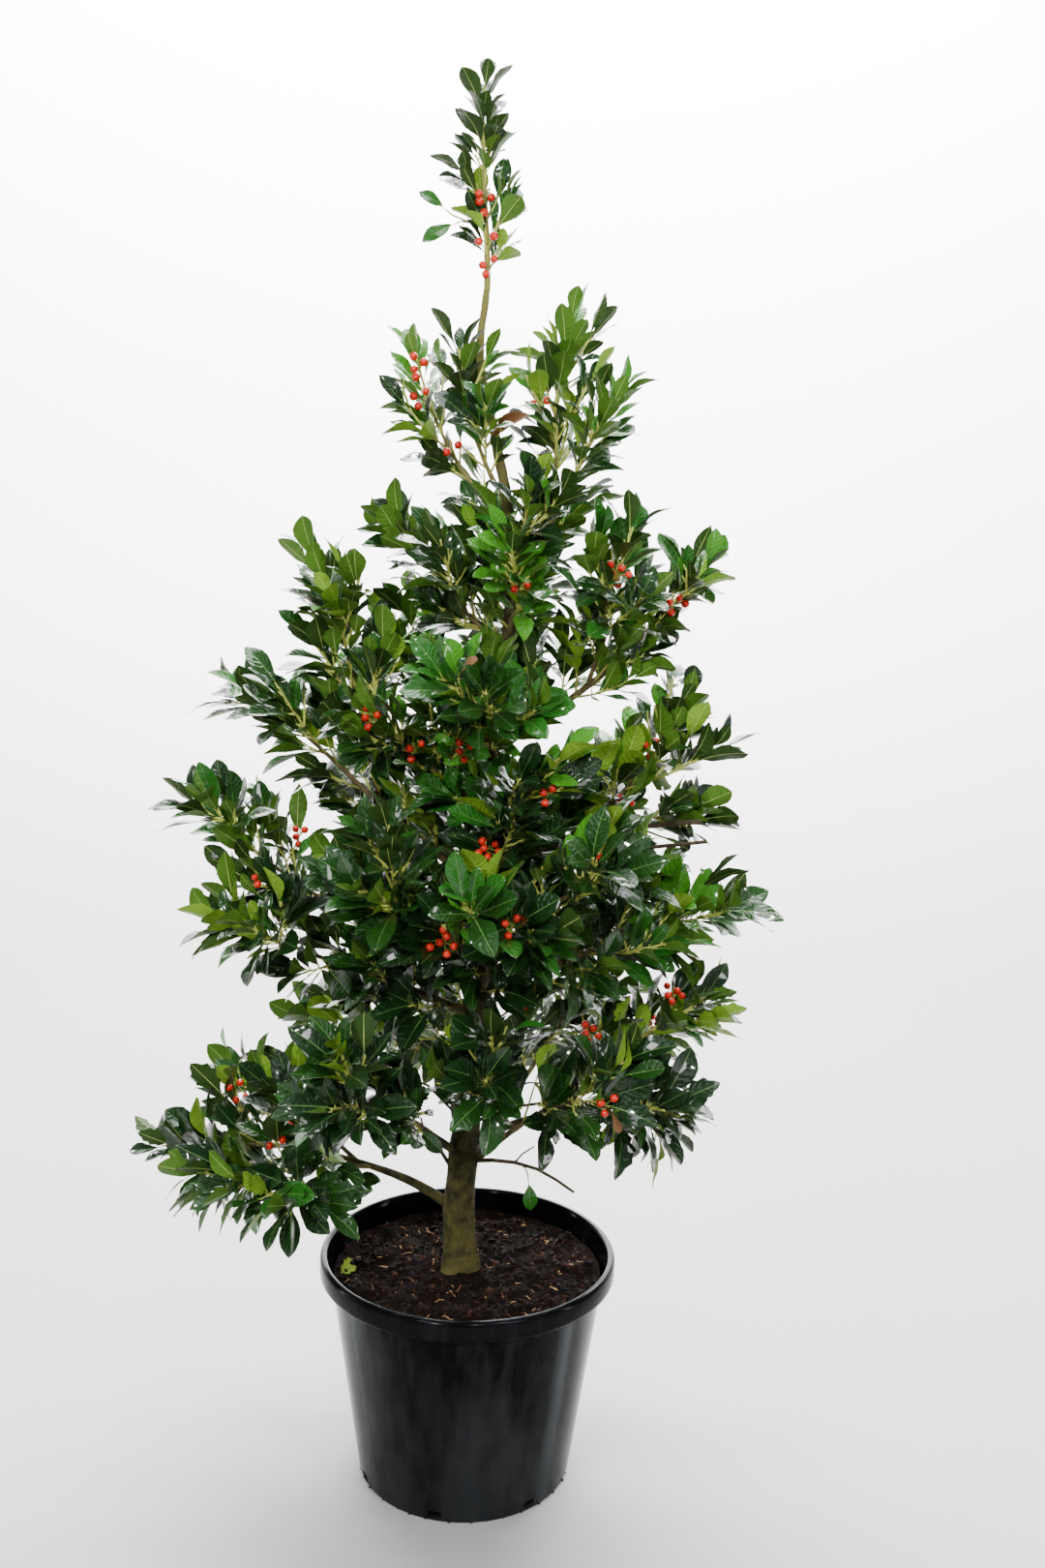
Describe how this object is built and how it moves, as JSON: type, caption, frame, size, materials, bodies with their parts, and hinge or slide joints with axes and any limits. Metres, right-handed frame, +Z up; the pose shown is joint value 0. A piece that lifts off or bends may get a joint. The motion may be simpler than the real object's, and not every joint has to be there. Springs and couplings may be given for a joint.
{
  "type": "potted holly tree",
  "caption": "Young cone-shaped holly tree with a straight leader, spreading boughs, glossy evergreen leaves and red berries, growing in a round black nursery pot filled with peat.",
  "frame": {"origin": "centre of the pot's flat underside, on the floor", "axes": "+Z up along the trunk; +Y level, towards the back of the crown; +X level, away from the side with the longest low bough"},
  "size_m": [0.8685, 0.7347, 1.8492],
  "materials": {
    "pot": "satin",
    "soil": "matte",
    "bark": "matte",
    "foliage": "satin"
  },
  "bodies": {
    "root": {"bough_high_left": "bark", "bough_high_right": "bark", "bough_low_back": "bark", "bough_low_back_right": "bark", "bough_low_front_left": "bark", "bough_low_front_right": "bark", "bough_low_left": "bark", "bough_low_right": "bark", "bough_mid_back": "bark", "bough_mid_back_left": "bark", "bough_mid_front": "bark", "bough_mid_front_right": "bark", "bough_mid_left": "bark", "bough_mid_left_low": "bark", "bough_mid_right": "bark", "bough_mid_right_low": "bark", "bough_top_right": "bark", "foliage_crown_back": "foliage", "foliage_crown_front": "foliage", "foliage_crown_left": "foliage", "foliage_high_back": "foliage", "foliage_high_back_left": "foliage", "foliage_high_front": "foliage", "foliage_high_left": "foliage", "foliage_high_right": "foliage", "foliage_inner_front": "foliage", "foliage_inner_left": "foliage", "foliage_leader": "foliage", "foliage_low_back": "foliage", "foliage_low_back_left": "foliage", "foliage_low_back_right": "foliage", "foliage_low_front": "foliage", "foliage_low_front_left": "foliage", "foliage_low_front_right": "foliage", "foliage_low_left": "foliage", "foliage_low_left_back": "foliage", "foliage_low_left_front": "foliage", "foliage_low_right": "foliage", "foliage_low_right_back": "foliage", "foliage_mid_back": "foliage", "foliage_mid_back_left": "foliage", "foliage_mid_back_right": "foliage", "foliage_mid_front": "foliage", "foliage_mid_front_left": "foliage", "foliage_mid_front_right": "foliage", "foliage_mid_left": "foliage", "foliage_mid_left_low": "foliage", "foliage_mid_right": "foliage", "foliage_mid_right_back_low": "foliage", "foliage_mid_right_high": "foliage", "foliage_mid_right_low": "foliage", "foliage_top_left": "foliage", "foliage_top_left_front": "foliage", "foliage_top_right": "foliage", "foliage_top_right_back": "foliage", "foliage_upper_left": "foliage", "foliage_upper_right_front": "foliage", "pot": "pot", "soil": "soil", "trunk": "bark"}
  },
  "joints": []
}
